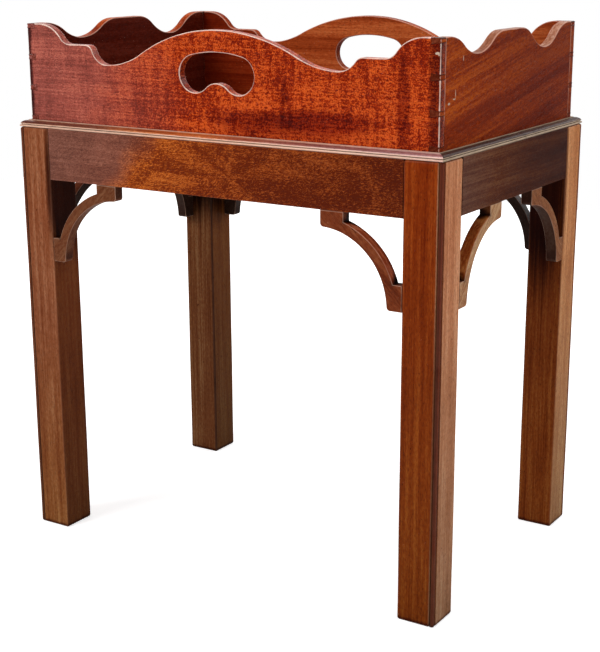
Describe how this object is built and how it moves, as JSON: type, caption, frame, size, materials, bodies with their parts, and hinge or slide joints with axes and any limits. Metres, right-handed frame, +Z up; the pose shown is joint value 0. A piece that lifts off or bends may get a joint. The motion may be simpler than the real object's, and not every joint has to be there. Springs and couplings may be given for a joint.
{
  "type": "butler tray on stand",
  "caption": "Mahogany tray with scalloped dovetailed sides and hand holes, resting inside the moulded lip of a stand with square legs and pierced corner brackets; the tray lifts off.",
  "frame": {"origin": "on the floor at the middle of the stand", "axes": "+X to the right end, -Y to the front, +Z up"},
  "size_m": [0.634, 0.414, 0.7053],
  "materials": {
    "tray_wood": "polished mahogany, glossy",
    "tray_bottom_wood": "polished mahogany, worn satin",
    "stand_wood": "polished mahogany, satin",
    "bracket_wood": "polished mahogany, satin",
    "steel": "plain, dulled"
  },
  "bodies": {
    "stand": {"apron_back": "stand_wood", "apron_front": "stand_wood", "apron_left": "stand_wood", "apron_right": "stand_wood", "bracket_back_left": "bracket_wood", "bracket_back_right": "bracket_wood", "bracket_front_left": "bracket_wood", "bracket_front_right": "bracket_wood", "bracket_left_back": "bracket_wood", "bracket_left_front": "bracket_wood", "bracket_pin_back_left_apron": "steel", "bracket_pin_back_left_leg": "steel", "bracket_pin_back_right_apron": "steel", "bracket_pin_back_right_leg": "steel", "bracket_pin_front_left_apron": "steel", "bracket_pin_front_left_leg": "steel", "bracket_pin_front_right_apron": "steel", "bracket_pin_front_right_leg": "steel", "bracket_pin_left_back_apron": "steel", "bracket_pin_left_back_leg": "steel", "bracket_pin_left_front_apron": "steel", "bracket_pin_left_front_leg": "steel", "bracket_pin_right_back_apron": "steel", "bracket_pin_right_back_leg": "steel", "bracket_pin_right_front_apron": "steel", "bracket_pin_right_front_leg": "steel", "bracket_right_back": "bracket_wood", "bracket_right_front": "bracket_wood", "leg_back_left": "stand_wood", "leg_back_right": "stand_wood", "leg_front_left": "stand_wood", "leg_front_right": "stand_wood", "moulding_back": "stand_wood", "moulding_front": "stand_wood", "moulding_left": "stand_wood", "moulding_pin_back_left": "steel", "moulding_pin_back_right": "steel", "moulding_pin_front_left": "steel", "moulding_pin_front_right": "steel", "moulding_pin_left_back": "steel", "moulding_pin_left_front": "steel", "moulding_pin_right_back": "steel", "moulding_pin_right_front": "steel", "moulding_right": "stand_wood"},
    "tray": {"tray_back_board": "tray_wood", "tray_bottom": "tray_bottom_wood", "tray_front_board": "tray_wood", "tray_left_end": "tray_wood", "tray_right_end": "tray_wood", "tray_screw_back_1": "steel", "tray_screw_back_2": "steel", "tray_screw_back_3": "steel", "tray_screw_front_1": "steel", "tray_screw_front_2": "steel", "tray_screw_front_3": "steel", "tray_screw_left_1": "steel", "tray_screw_left_2": "steel", "tray_screw_right_1": "steel", "tray_screw_right_2": "steel"}
  },
  "joints": [
    {"name": "tray_lift", "type": "slide", "parent": "stand", "child": "tray", "axis": [0, 0, 1], "range_m": [0, 0.12]}
  ]
}
